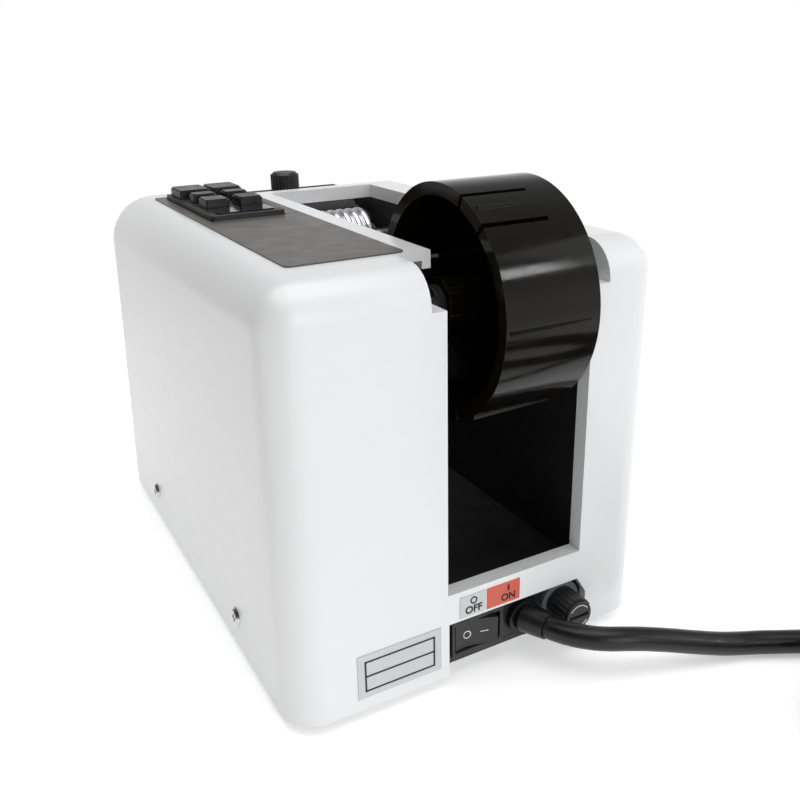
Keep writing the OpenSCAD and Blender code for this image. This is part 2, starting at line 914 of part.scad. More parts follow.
module axle_collars() {
    color("black")
        for (x = [drum_l - gap - collar_w, drum_end + gap])
            difference() {
                rod_x(collar_r, x, x + collar_w, drum_y, axle_z);
                rod_x(axle_r, x - 1, x + collar_w + 1, drum_y, axle_z);
            }
}

// Half section of the drum: rim, web and hub
module drum_section() {
    web = 3;
    difference() {
        union() {
            translate([drum_r - rim_t, 0])
                square([rim_t, drum_w]);
            translate([0, drum_w * 0.35])
                square([drum_r - 1, web]);
            square([hub_r, drum_w]);
        }
        translate([-1, -1])
            square([axle_r + run + 1, drum_w + 2]);
    }
}

module tape_wheel() {
    rib_end = drum_w - 1.5;
    rib_len = drum_w - 5;
    rib_w = 3.4;
    rib_root = 0.9;
    rib_fall = 1.2;
    color([0.07, 0.07, 0.08])
        translate([drum_l, drum_y, axle_z]) {
            difference() {
                rotate([0, 90, 0])
                    rotate_extrude($fn = 96)
                        drum_section();
                // Two slots free a springy finger at each third of the rim
                for (third = [0:2])
                    for (edge = [-1, 1])
                        rotate([finger_at + 120 * third + edge * finger_half, 0, 0])
                            translate([drum_w - slot_len, drum_r - rim_t - 1, -slot_w / 2])
                                cube([slot_len + 1, rim_t + 3, slot_w]);
            }
            // Sharp ribs that grip the core, tallest at the open side
            for (sixth = [0:5])
                rotate([finger_at + 60 * sixth, 0, 0])
                    translate([rib_end, drum_r, 0])
                        rotate([0, 0, rib_fall])
                            rotate([0, -90, 0])
                                linear_extrude(rib_len)
                                    polygon([[-rib_w / 2, -rib_root], [rib_w / 2, -rib_root], [0, rib_h]]);
        }
}

module switch_body() {
    depth = 16;
    half_in = switch_w / 2 - 1.3;
    color([0.08, 0.08, 0.08])
        difference() {
            union() {
                box([switch_x - switch_w / 2, panel_y, switch_z - switch_h / 2],
                    [switch_x + switch_w / 2, panel_y + 2, switch_z + switch_h / 2]);
                box([switch_x - switch_w / 2 + 0.5, panel_y - depth, switch_z - switch_h / 2 + 0.4],
                    [switch_x + switch_w / 2 - 0.5, panel_y + 1, switch_z + switch_h / 2 - 0.4]);
            }
            box([switch_x - half_in, panel_y - depth + 2, switch_z - 5.3],
                [switch_x + half_in, panel_y + 3, switch_z + 5.3]);
            translate([switch_x, rocker_y, switch_z - switch_h / 2])
                cylinder(r = rocker_pin_r + run, h = switch_h);
        }
}

// Rocker with its off end pressed in, turned about its own pin
module switch_rocker() {
    half = switch_w / 2 - 2.5;
    color([0.08, 0.08, 0.08])
        translate([switch_x, rocker_y, switch_z])
            rotate([0, 0, -rocker_swing / 2]) {
                translate([0, 0, -5])
                    linear_extrude(10)
                        polygon([[-half, -1], [-half, 4.9], [-half / 2, 3.9], [0, 3.6], [half / 2, 3.9],
                                 [half, 4.9], [half, -1], [0, -5]]);
                translate([0, 0, -6.3])
                    cylinder(r = rocker_pin_r, h = 12.6);
            }
}

module fuse_holder() {
    color([0.3, 0.3, 0.3])
        difference() {
            union() {
                rod_y(fuse_r + 2, panel_y, panel_y + fuse_flange, fuse_x, fuse_z);
                rod_y(fuse_r, panel_y - 24, panel_y + 1, fuse_x, fuse_z);
            }
            rod_y(3.5 + run, panel_y - 20, panel_y + 4, fuse_x, fuse_z);
        }
}

module fuse_cap() {
    ribs = 20;
    y0 = panel_y + fuse_flange + gap;
    color([0.08, 0.08, 0.08])
        difference() {
            union() {
                rod_y(fuse_r, y0, y0 + 9, fuse_x, fuse_z);
                rod_y(fuse_r - 0.8, y0 + 8, y0 + 10.2, fuse_x, fuse_z);
                rod_y(3.5, panel_y - 15, y0 + 1, fuse_x, fuse_z);
            }
            for (i = [0:ribs - 1])
                translate([fuse_x, y0 + 1.5, fuse_z])
                    rotate([-90, i * 360 / ribs, 0])
                        translate([fuse_r + 0.3, 0, 0])
                            cylinder(r = 0.6, h = 20);
            // Slot for a coin or a screwdriver
            translate([fuse_x, y0 + 11, fuse_z])
                cube([8, 3, 1.4], center = true);
        }
}

module cord_gland() {
    color([0.06, 0.06, 0.06]) {
        rod_y(gland_r, panel_y - 9, panel_y + 1, gland_x, gland_z);
        rod_y(gland_r + 1, panel_y, panel_y + 2.5, gland_x, gland_z);
        translate([gland_x, boot_y, gland_z])
            rotate([0, 0, boot_tilt])
                rotate([-90, 0, 0])
                    cylinder(r1 = gland_r - 0.6, r2 = cord_d / 2 + 0.6, h = boot_len);
    }
}

// Tube with flat ends swept along points, its rings square to the run
module tube(points, d, sides) {
    n = len(points);
    function along(i) =
        let (v = points[min(n - 1, i + 1)] - points[max(0, i - 1)]) v / norm(v);
    function side(i) = let (c = cross([0, 0, 1], along(i))) c / norm(c);
    function up(i) = cross(along(i), side(i));
    rings = [for (i = [0:n - 1]) for (k = [0:sides - 1])
             let (a = 360 * (k + 0.5) / sides)
             points[i] + d / 2 * (cos(a) * side(i) + sin(a) * up(i))];
    faces = concat(
        [for (k = [1:sides - 2]) [0, k, k + 1]],
        [for (k = [1:sides - 2]) [(n - 1) * sides, (n - 1) * sides + k + 1, (n - 1) * sides + k]],
        [for (i = [0:n - 2]) for (k = [0:sides - 1])
         let (m = (k + 1) % sides) each
         [[i * sides + k, (i + 1) * sides + k, (i + 1) * sides + m],
          [i * sides + k, (i + 1) * sides + m, i * sides + m]]]);
    polyhedron(points = rings, faces = faces, convexity = 10);
}

module power_cord() {
    color([0.05, 0.05, 0.05])
        tube(cord_points, cord_d, 10);
}

module cord_coil() {
    color([0.05, 0.05, 0.05])
        translate(on_coil(0, 0, ring_z))
            rotate_extrude()
                translate([ring_in, 0])
                    square([ring_out - ring_in, ring_h]);
}

// Places the plug on the coil, pointing along its turns
module at_plug() {
    translate(plug_at)
        rotate([0, 0, plug_turn - 90])
            children();
}

module plug_body() {
    color([0.05, 0.05, 0.05])
        at_plug() {
            rotate([0, 90, 0])
                cylinder(r = cord_d / 2 + 1, h = plug_len - plug_grip + 2);
            translate([plug_len - plug_grip, -plug_w / 2, -plug_h / 2])
                cube([plug_grip, plug_w, plug_h]);
        }
}

module plug_prongs() {
    color("silver")
        at_plug()
            for (side = [-1, 1])
                translate([plug_len, side * prong_apart / 2 - prong_t / 2, -prong_w / 2])
                    cube([prong_len, prong_t, prong_w]);
}

housing();
base_plate();
feet();
case_screws();
rear_panel();
right_frame();
left_frame();
bay_floor();
frame_spacers();
name_plate();
rating_plate();
off_label();
on_label();
keypad_frame();
display_window();
key_1();
key_2();
key_3();
key_4();
key_5();
key_6();
control_board();
transformer();
feed_motor();
motor_bracket();
motor_pulley();
drive_belt();
roller_pulley();
feed_shaft();
feed_roller();
feed_bushes();
guide_shaft();
guide_roller();
guide_collars();
arm_pivot();
pressure_arm();
pressure_shaft();
pressure_roller();
pressure_knob();
outlet_plate();
fixed_blade();
moving_blade();
blade_carrier();
guide_posts();
crank_disc();
cutter_motor();
front_cover();
wheel_axle();
axle_collars();
tape_wheel();
switch_body();
switch_rocker();
fuse_holder();
fuse_cap();
cord_gland();
power_cord();
cord_coil();
plug_body();
plug_prongs();
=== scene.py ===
"""Looks for the electric tape dispenser: finishes, marks, mains lead, camera and light."""
import json
import math

import bpy
from mathutils import Matrix, Vector


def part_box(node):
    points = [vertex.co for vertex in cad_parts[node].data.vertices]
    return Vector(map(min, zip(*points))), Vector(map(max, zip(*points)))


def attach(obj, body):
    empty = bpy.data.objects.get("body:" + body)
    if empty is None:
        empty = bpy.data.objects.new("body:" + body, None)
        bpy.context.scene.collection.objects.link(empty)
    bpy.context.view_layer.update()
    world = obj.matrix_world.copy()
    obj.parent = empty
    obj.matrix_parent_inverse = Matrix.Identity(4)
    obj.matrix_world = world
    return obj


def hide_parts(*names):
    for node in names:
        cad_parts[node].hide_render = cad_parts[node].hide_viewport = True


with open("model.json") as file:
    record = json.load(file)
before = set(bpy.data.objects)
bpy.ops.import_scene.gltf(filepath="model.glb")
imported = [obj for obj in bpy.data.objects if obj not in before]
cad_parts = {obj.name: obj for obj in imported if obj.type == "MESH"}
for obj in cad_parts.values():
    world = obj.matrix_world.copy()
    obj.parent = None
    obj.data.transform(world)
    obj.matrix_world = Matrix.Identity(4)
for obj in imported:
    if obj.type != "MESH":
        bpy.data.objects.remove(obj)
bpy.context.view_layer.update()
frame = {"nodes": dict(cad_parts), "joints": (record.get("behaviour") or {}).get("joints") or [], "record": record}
NODES = frame["nodes"]
MM = 0.001

# Camera of the photograph, in the part's frame
CAMERA_AT = Vector((136.711, 302.09, 197.355)) * MM
CAMERA_YAW = 29.378
CAMERA_PITCH = 20.594
CAMERA_ROLL = -0.861
CAMERA_NEAR = 0.01
FOCAL_PIXELS = 879.17
PRINCIPAL_PIXEL = (419.71, 380.27)
IMAGE_SIDE = 800
SENSOR_MM = 36

# Mains lead, as in the part's source: millimetres, apart from its diameter
CORD_D = 8 * MM
CORD_Z = 4.2
CORD_ROUNDNESS = 5
BOOT_END = (-22.578, 105.407, 13.7)
ROUTE = [(-23.262, 107.286, 13.7), (-24.79, 110.15, 13.75), (-27.79, 114.43, 13.8),
         (-31.49, 118.13, 13.8), (-35.77, 121.13, 13.7), (-40.51, 123.34, 13.4), (-46, 125.2, 12.5),
         (-52, 127.2, 11.2), (-58, 129.15, 9.7), (-64, 131.1, 8.1), (-70, 133.05, 6.6), (-76, 135, 5.3),
         (-82, 137, 4.5), (-88, 139.6, CORD_Z), (-95, 143.4, CORD_Z)]
ROUTE_STEPS = 4

# Coil: two layers of turns, the lower one wound inward and the upper one outward
COIL_AT = (-110, 213)
COIL_IN = 33
COIL_PITCH = 8.6
COIL_TURNS = 31 / 12
COIL_OUT = COIL_IN + COIL_PITCH * COIL_TURNS
COIL_START = 244
COIL_STEPS = 48
COIL_LEAD = 30.31

# End of the lead: round the coil's top, then a bend in to the plug
TAIL_BEND = 35
SWEEP_STEPS = 13
BEND_STEPS = 7

# Plug: its angle on the coil, the height of its axis, and its back end behind its middle
PLUG_TURN = 40
PLUG_Z = 25.6
PLUG_BACK = 14
PLUG_SIDES = 48
NECK_CUT = 0.6
GRIP_CUT = 0.4
GROOVE_SLOPE = 0.4
GROOVE_FLOOR = 0.8

# Strap round the coil, at an angle past the coil's start
TIE_PAST = 20
TIE_WIDTH = 9.0
TIE_THICK = 0.6
TIE_CORNER = 4.5
TIE_CORNER_STEPS = 6
TIE_SLACK = 0.5
TIE_LOW = 0.05
TIE_HEADROOM = 1.2

# Printed marks: how far they stand off, their thickness and line width, and the type's proportions
LIFT = 0.08 * MM
INK = 0.06 * MM
STROKE = 0.6 * MM
RING_SIDES = 48
CAPITAL_SHARE = 0.7
WORD_WEIGHT = 0.11 * MM

# ON and OFF labels, with places given as shares of the label from its middle
OFF_RING = (1.35 * MM, 0.85 * MM)
OFF_RING_UP = 0.22
OFF_HEIGHT = 2.6 * MM
ON_BAR_HALF = 0.35 * MM
ON_BAR_LOW, ON_BAR_HIGH = 0.09, 0.38
ON_HEIGHT = 2.5 * MM
ON_ASIDE = 0.14
WORD_DOWN = 0.19
RATING_MARGIN_X, RATING_MARGIN_Z = 2.4 * MM, 2.3 * MM

# Marks of the power rocker and the fuse cap: rings and arcs by outer and inner radius
BEZEL = 2.5 * MM
ROCKER_DISH = 0.3 * MM
ROCKER_FACE = 3.9 * MM
ROCKER_MARK_SHARE = 0.42
ROCKER_RING = (1.5 * MM, 1.15 * MM)
ROCKER_BAR_HALF_X, ROCKER_BAR_HALF_Z = 1.5 * MM, 0.16 * MM
FUSE_ARC = (4.3 * MM, 3.95 * MM)
FUSE_ARC_SWEEP = 110
FUSE_ARC_STARTS = (35, 215)

# Plane of the rear labels: text runs to the viewer's right, which is -X
REAR = Matrix(((-1, 0, 0, 0), (0, 0, 1, 0), (0, 1, 0, 0), (0, 0, 0, 1)))

# Stage: sky colours by height and by side as ramp stops, floor, and lights by place, side and power
SKY_STOPS = ((0.06, (1, 1, 1)), (0.5, (0.36, 0.36, 0.37)))
SHADE_STOPS = ((0.1, (1, 1, 1)), (0.7, (0.12, 0.11, 0.10)))
FLOOR_HALF = 6.0
FLOOR_GLOW = 0.4
LIGHT_AIM = Vector((0, 0, 0.07))
LIGHTS = {"key": ((0.0, 1.45, 0.6), 0.8, 4.2), "fill": ((-1.1, 0.6, 0.7), 0.8, 2.0),
          "top": ((0.1, 0.0, 1.3), 1.2, 10.5), "glint": ((-0.69, 0.93, 0.68), 0.14, 0.9)}

# Finishes: grain is the scale of the relief and bump its strength, mottle and spread are how much
# the colour and the roughness vary, and stretch draws the grain out into lines
TURNED = (12, 1, 1)
GROUND = (1, 1, 40)
FINISHES = {
    "white_abs": dict(colour=(0.78, 0.785, 0.79), rough=0.24, grain=250, bump=0.004, mottle=0.007,
                      spread=0.02),
    "black_abs": dict(colour=(0.016, 0.016, 0.017), rough=0.42, grain=1600, bump=0.14, mottle=0.15,
                      spread=0.10),
    "drum_abs": dict(colour=(0.0046, 0.0040, 0.0030), rough=0.12, grain=500, bump=0.012, mottle=0.25,
                     spread=0.05, specular=0.22),
    "plate_grey": dict(colour=(0.090, 0.082, 0.072), rough=0.38, grain=2200, bump=0.08, mottle=0.06,
                       spread=0.06),
    "label_grey": dict(colour=(0.55, 0.57, 0.58), rough=0.40, grain=1500, bump=0.03, mottle=0.03,
                       spread=0.05),
    "label_red": dict(colour=(0.60, 0.105, 0.068), rough=0.40, grain=1500, bump=0.03, mottle=0.05,
                      spread=0.05),
    "screen": dict(colour=(0.008, 0.008, 0.011), rough=0.09, grain=300, bump=0.01, mottle=0.2,
                   spread=0.03),
    "key_rubber": dict(colour=(0.012, 0.012, 0.013), rough=0.36, grain=1700, bump=0.10, mottle=0.15,
                       spread=0.08),
    "steel": dict(colour=(0.56, 0.56, 0.57), rough=0.26, grain=400, bump=0.015, mottle=0.08,
                  spread=0.08, metal=1.0, stretch=TURNED),
    "roller_alloy": dict(colour=(0.80, 0.80, 0.81), rough=0.22, grain=300, bump=0.01, mottle=0.05,
                         spread=0.06, metal=1.0, stretch=TURNED),
    "blade_steel": dict(colour=(0.62, 0.62, 0.64), rough=0.22, grain=900, bump=0.05, mottle=0.06,
                        spread=0.08, metal=1.0, stretch=GROUND),
    "black_steel": dict(colour=(0.010, 0.010, 0.011), rough=0.50, grain=1300, bump=0.20, mottle=0.15,
                        spread=0.10),
    "rubber": dict(colour=(0.022, 0.022, 0.022), rough=0.72, grain=1100, bump=0.25, mottle=0.18,
                   spread=0.10),
    "motor_steel": dict(colour=(0.30, 0.31, 0.33), rough=0.36, grain=800, bump=0.10, mottle=0.08,
                        spread=0.10, metal=0.8),
    "bronze": dict(colour=(0.50, 0.33, 0.15), rough=0.42, grain=900, bump=0.18, mottle=0.12,
                   spread=0.10, metal=1.0),
    "board": dict(colour=(0.02, 0.14, 0.05), rough=0.34, grain=700, bump=0.15, mottle=0.20,
                  spread=0.08),
    "cord_pvc": dict(colour=(0.007, 0.007, 0.0075), rough=0.32, grain=1000, bump=0.08, mottle=0.15,
                     spread=0.08, specular=0.4),
    "fuse_grey": dict(colour=(0.14, 0.15, 0.17), rough=0.45, grain=1200, bump=0.10, mottle=0.10,
                      spread=0.08),
    "ink_black": dict(colour=(0.008, 0.008, 0.0085), rough=0.55, grain=2000, bump=0.03, mottle=0.20,
                      spread=0.05),
    "ink_white": dict(colour=(0.72, 0.72, 0.72), rough=0.50, grain=2000, bump=0.03, mottle=0.04,
                      spread=0.05),
}
FLOOR_WHITE = dict(colour=(0.93, 0.93, 0.93), rough=0.75, grain=60, bump=0.0, mottle=0.004, spread=0.03)
NOISE_LOW, NOISE_HIGH = 0.3, 0.7
RELIEF_DEPTH = 0.4 * MM
LEAST_ROUGH = 0.02

# Width in millimetres of the rounded edges of each finish that is moulded or has its edges broken
EDGE = {"white_abs": 0.9, "black_abs": 0.4, "drum_abs": 0.35, "key_rubber": 0.45, "rubber": 0.5,
        "cord_pvc": 0.6, "steel": 0.2, "black_steel": 0.35, "motor_steel": 0.4, "fuse_grey": 0.4}
PLAIN_EDGE = 0.08
EDGE_ANGLE = math.radians(32)
WELD = 0.002 * MM


def place_object(name, data):
    """New object in the scene, showing the data."""
    thing = bpy.data.objects.new(name, data)
    bpy.context.scene.collection.objects.link(thing)
    return thing


def make_camera():
    """Camera that sees what the photograph shows."""
    yaw, pitch, roll = (math.radians(a) for a in (CAMERA_YAW, CAMERA_PITCH, CAMERA_ROLL))
    forward = Vector((-math.sin(yaw) * math.cos(pitch), -math.cos(yaw) * math.cos(pitch), -math.sin(pitch)))
    right = forward.cross(Vector((0, 0, 1))).normalized()
    up = right.cross(forward)
    right, up = (math.cos(roll) * right + math.sin(roll) * up,
                 -math.sin(roll) * right + math.cos(roll) * up)
    data = bpy.data.cameras.new("camera")
    data.sensor_width = SENSOR_MM
    data.lens = FOCAL_PIXELS * SENSOR_MM / IMAGE_SIDE
    data.shift_x = (IMAGE_SIDE / 2 - PRINCIPAL_PIXEL[0]) / IMAGE_SIDE
    data.shift_y = (PRINCIPAL_PIXEL[1] - IMAGE_SIDE / 2) / IMAGE_SIDE
    data.clip_start = CAMERA_NEAR
    camera = place_object("camera", data)
    turn = Matrix((right, up, -forward)).transposed()
    camera.matrix_world = Matrix.Translation(CAMERA_AT) @ turn.to_4x4()
    bpy.context.scene.camera = camera


def node_maker(tree):
    """Function that adds a node to a tree and sets its properties and inputs by name."""
    def add(kind, **values):
        node = tree.nodes.new(kind)
        for name, value in values.items():
            if hasattr(node, name):
                setattr(node, name, value)
            else:
                node.inputs[name.replace("_", " ")].default_value = value
        return node

    return add


def set_ramp(ramp, stops):
    """Two stops of a colour ramp, each with its place and colour."""
    for element, (position, colour) in zip(ramp.color_ramp.elements, stops):
        element.position = position
        element.color = (*colour, 1)


def surface(name, colour, rough, grain, bump, mottle, spread, metal=0.0, stretch=(1, 1, 1), specular=0.5):
    """Finish with a fine grain in its relief, a slow drift in its colour and patchy gloss."""
    material = bpy.data.materials.new(name)
    material.use_nodes = True
    tree = material.node_tree
    tree.nodes.clear()
    add, link = node_maker(tree), tree.links.new
    place = add("ShaderNodeTexCoord")
    scale = add("ShaderNodeMapping", Scale=stretch)
    link(place.outputs["Object"], scale.inputs["Vector"])
    drift = add("ShaderNodeTexNoise", Scale=35.0, Detail=4.0, Roughness=0.6)
    fine = add("ShaderNodeTexNoise", Scale=float(grain), Detail=3.0, Roughness=0.55)
    patch = add("ShaderNodeTexNoise", Scale=140.0, Detail=5.0, Roughness=0.65)
    for texture in (drift, fine, patch):
        link(scale.outputs["Vector"], texture.inputs["Vector"])
    ramp = add("ShaderNodeValToRGB")
    set_ramp(ramp, ((NOISE_LOW, [c * (1 - mottle) for c in colour]),
                    (NOISE_HIGH, [min(1, c * (1 + mottle)) for c in colour])))
    link(drift.outputs["Fac"], ramp.inputs["Fac"])
    gloss = add("ShaderNodeMapRange", From_Min=NOISE_LOW, From_Max=NOISE_HIGH,
                To_Min=max(LEAST_ROUGH, rough - spread), To_Max=min(1.0, rough + spread))
    link(patch.outputs["Fac"], gloss.inputs["Value"])
    relief = add("ShaderNodeBump", Strength=bump, Distance=RELIEF_DEPTH)
    link(fine.outputs["Fac"], relief.inputs["Height"])
    shader = add("ShaderNodeBsdfPrincipled", Metallic=metal, Specular_IOR_Level=specular)
    link(ramp.outputs["Color"], shader.inputs["Base Color"])
    link(gloss.outputs["Result"], shader.inputs["Roughness"])
    link(relief.outputs["Normal"], shader.inputs["Normal"])
    output = add("ShaderNodeOutputMaterial")
    link(shader.outputs["BSDF"], output.inputs["Surface"])
    return material


MATERIALS = {name: surface(name, **finish) for name, finish in FINISHES.items()}


def dress_nodes():
    """Every CAD node takes its slot's finish, smooth shading and softly broken edges."""
    for part in frame["record"]["subparts"]:
        node, slot = NODES[part["node"]], part["material_slot"]
        mesh = node.data
        mesh.materials.clear()
        mesh.materials.append(MATERIALS[slot])
        if "custom_normal" in mesh.attributes:
            mesh.attributes.remove(mesh.attributes["custom_normal"])
        mesh.polygons.foreach_set("use_smooth", [True] * len(mesh.polygons))
        mesh.polygons.foreach_set("material_index", [0] * len(mesh.polygons))
        weld = node.modifiers.new("weld", "WELD")
        weld.merge_threshold = WELD
        bevel = node.modifiers.new("edge", "BEVEL")
        bevel.width = EDGE.get(slot, PLAIN_EDGE) * MM
        bevel.segments = 3 if slot in EDGE else 1
        bevel.limit_method = "ANGLE"
        bevel.angle_limit = EDGE_ANGLE
        bevel.harden_normals = True


def add_piece(name, data, material, body):
    """New piece with its finish, riding on a body."""
    data.materials.clear()
    data.materials.append(MATERIALS[material])
    piece = place_object(name, data)
    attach(piece, body)
    return piece


def make_mesh(name, verts, faces):
    """Mesh from points in the part's frame."""
    mesh = bpy.data.meshes.new(name)
    mesh.from_pydata([tuple(v) for v in verts], [], faces)
    mesh.validate()
    return mesh


def band_faces(rings, sides, closed):
    """Quads between rings of points that follow each other, in a closed loop or not."""
    faces = []
    for i in range(rings if closed else rings - 1):
        here, there = i * sides, (i + 1) % rings * sides
        for k in range(sides):
            after = (k + 1) % sides
            faces.append((here + k, here + after, there + after, there + k))
    return faces


def smooth_path(points, steps):
    """Curve through the points, with steps samples to a stretch."""
    out = []
    for i in range(len(points) - 1):
        p0, p1, p2, p3 = (Vector(points[min(max(j, 0), len(points) - 1)]) for j in range(i - 1, i + 3))
        for k in range(steps):
            t = k / steps
            out.append(0.5 * (2 * p1 + (p2 - p0) * t + (2 * p0 - 5 * p1 + 4 * p2 - p3) * t ** 2
                              + (3 * p1 - p0 - 3 * p2 + p3) * t ** 3))
    out.append(Vector(points[-1]))
    return out


def spoke(degrees):
    """Level direction out from the coil's middle, at an angle round it."""
    return Vector((math.cos(math.radians(degrees)), math.sin(math.radians(degrees)), 0))


def heading(degrees):
    """Way the coil runs at an angle round it."""
    return Vector((math.sin(math.radians(degrees)), -math.cos(math.radians(degrees)), 0))


def coil_point(i):
    """Point of the coil, i steps along it: in, up a layer and out again."""
    middle = COIL_TURNS * COIL_STEPS
    radius = COIL_IN + COIL_PITCH * abs(i - middle) / COIL_STEPS
    climb = COIL_STEPS / 2
    rise = min(1, max(0, (i - middle + climb / 2) / climb))
    turn = math.radians(COIL_START - 360 * i / COIL_STEPS)
    return Vector((COIL_AT[0] + radius * math.cos(turn), COIL_AT[1] + radius * math.sin(turn),
                   CORD_Z + COIL_PITCH * rise))


def coil_tail():
    """End of the lead: it climbs on to the coil and bends in to the plug that lies there."""
    plug_r = COIL_IN + (COIL_OUT - COIL_IN) / 2
    stop = (COIL_START - 720 * COIL_TURNS) % 360
    bend = PLUG_TURN + math.degrees(math.acos((plug_r - TAIL_BEND) / (COIL_OUT - TAIL_BEND)))
    middle = Vector((*COIL_AT, 0))
    bend_at = middle + (COIL_OUT - TAIL_BEND) * spoke(bend)
    flat = [middle + COIL_OUT * spoke(stop + (bend - stop) * k / SWEEP_STEPS)
            for k in range(1, SWEEP_STEPS + 1)]
    flat += [bend_at + TAIL_BEND * spoke(bend + (PLUG_TURN - bend) * k / BEND_STEPS)
             for k in range(1, BEND_STEPS + 1)]
    low = CORD_Z + COIL_PITCH
    points = []
    for k, at in enumerate(flat, 1):
        t = k / len(flat)
        points.append(at + Vector((0, 0, low + (PLUG_Z - low) * t * t * (3 - 2 * t))))
    plug_at = middle + plug_r * spoke(PLUG_TURN)
    points.append(plug_at - PLUG_BACK * heading(PLUG_TURN) + Vector((0, 0, PLUG_Z)))
    return points


def make_cord():
    """Mains lead from its boot to its plug, with the length that isn't seen wound into a tied coil."""
    steps = round(2 * COIL_TURNS * COIL_STEPS)
    coil = [coil_point(i) for i in range(steps + 1)]
    join = coil[0] - COIL_LEAD * heading(COIL_START)
    points = smooth_path([BOOT_END, *ROUTE, join], ROUTE_STEPS) + coil + coil_tail()
    points = [Vector(p) * MM for p in points]
    curve = bpy.data.curves.new("mains_lead", "CURVE")
    curve.dimensions = "3D"
    curve.bevel_depth = CORD_D / 2
    curve.bevel_resolution = CORD_ROUNDNESS
    curve.use_fill_caps = True
    spline = curve.splines.new("POLY")
    spline.points.add(len(points) - 1)
    for point, at in zip(spline.points, points):
        point.co = (*at, 1)
    spline.use_smooth = True
    lead = add_piece("mains_lead", curve, "cord_pvc", "case")
    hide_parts("power_cord", "cord_coil")
    tie = make_tie()
    make_plug()


def groove(x, half_w, half_h, square, cut):
    """Sections of the plug from the near edge of a groove to the far end of its floor."""
    floor = (half_w - cut, half_h - cut, square)
    return [(x, half_w, half_h, square), (x + GROOVE_SLOPE, *floor),
            (x + GROOVE_SLOPE + GROOVE_FLOOR, *floor)]


def plug_sections():
    """Distance along the plug, half width, half height and squareness of each of its sections."""
    neck, grip = (4.9, 4.9, 2), (12.4, 8.5, 4.4)
    ringed_neck = [(0, 4.5, 4.5, 2), (0.4, *neck), *groove(1.6, *neck, NECK_CUT), (3.2, *neck),
                   *groove(4.4, *neck, NECK_CUT), (6.0, *neck)]
    shoulder = [(8.2, 5.0, 5.0, 2.2), (9.0, 6.6, 5.6, 2.5), (10.6, 9.6, 7.2, 3), (12.6, 11.7, 8.2, 3.6),
                (15, 12.4, 8.5, 4.2)]
    grooved_grip = [*groove(16.4, *grip, GRIP_CUT), (18.0, *grip), *groove(19.6, *grip, GRIP_CUT)]
    front = [(21.2, 12.4, 8.5, 4.6), (26.6, 12.4, 8.5, 5), (27.6, 12.1, 8.2, 5), (28, 11.5, 7.6, 5)]
    return ringed_neck + shoulder + grooved_grip + front


def make_plug():
    """Moulded plug with a ringed neck and grip grooves, lying flat on the coil."""
    along = heading(PLUG_TURN)
    across = Vector((-along.y, along.x, 0))
    start = coil_tail()[-1]
    sections = plug_sections()
    verts = []
    for x, half_w, half_h, square in sections:
        for k in range(PLUG_SIDES):
            turn = 2 * math.pi * k / PLUG_SIDES
            y, z = (half * math.copysign(abs(part) ** (2 / square), part)
                    for half, part in ((half_w, math.cos(turn)), (half_h, math.sin(turn))))
            verts.append((start + along * x + across * y + Vector((0, 0, z))) * MM)
    sides = band_faces(len(sections), PLUG_SIDES, closed=False)
    back = tuple(reversed(range(PLUG_SIDES)))
    front = tuple(range(len(verts) - PLUG_SIDES, len(verts)))
    mesh = make_mesh("mains_plug", verts, [*sides, back, front])
    mesh.polygons.foreach_set("use_smooth", [True] * len(sides) + [False, False])
    plug = add_piece("mains_plug", mesh, "cord_pvc", "case")
    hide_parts("plug_body")
    return plug


def make_tie():
    """Flat strap round the coil's bundle, just past the place where the cord comes in."""
    outer = COIL_IN + COIL_PITCH * (COIL_TURNS - TIE_PAST / 360)
    inner = outer - math.floor(COIL_TURNS) * COIL_PITCH - TIE_SLACK
    out = spoke(COIL_START - TIE_PAST)
    along = Vector((-out.y, out.x, 0))
    half_d = CORD_D / MM / 2
    middle = Vector((*COIL_AT, 0)) + out * (inner + outer) / 2
    half_w = (outer - inner) / 2 + half_d + TIE_SLACK
    high = CORD_Z + COIL_PITCH + half_d + TIE_HEADROOM
    verts = []
    for k, (side_x, side_z) in enumerate(((1, 1), (-1, 1), (-1, -1), (1, -1))):
        corner_x = (half_w - TIE_CORNER) * side_x
        corner_z = high - TIE_CORNER if side_z > 0 else TIE_LOW + TIE_CORNER
        for j in range(TIE_CORNER_STEPS + 1):
            a = math.radians(90 * k + 90 * j / TIE_CORNER_STEPS)
            for side, depth in ((-1, 0), (1, 0), (1, TIE_THICK), (-1, TIE_THICK)):
                radius = TIE_CORNER - depth
                at = middle + out * (corner_x + radius * math.cos(a)) + along * side * TIE_WIDTH / 2
                verts.append((at + Vector((0, 0, corner_z + radius * math.sin(a)))) * MM)
    faces = band_faces(len(verts) // 4, 4, closed=True)
    return add_piece("coil_tie", make_mesh("coil_tie", verts, faces), "rubber", "case")


def flat_ring(radii, centre=(0, 0), sweep=360, start=0):
    """Flat ring or arc in a label's own plane, as points and faces."""
    count = int(RING_SIDES * sweep / 360)
    verts = []
    for k in range(count if sweep == 360 else count + 1):
        a = math.radians(start + sweep * k / count)
        for r in radii:
            verts.append((centre[0] + r * math.cos(a), centre[1] + r * math.sin(a)))
    total = len(verts) // 2
    faces = [(2 * k, 2 * ((k + 1) % total), 2 * ((k + 1) % total) + 1, 2 * k + 1) for k in range(count)]
    return verts, faces


def flat_bar(x0, y0, x1, y1):
    """Flat rectangle in a label's own plane, as points and faces."""
    return [(x0, y0), (x1, y0), (x1, y1), (x0, y1)], [(0, 1, 2, 3)]


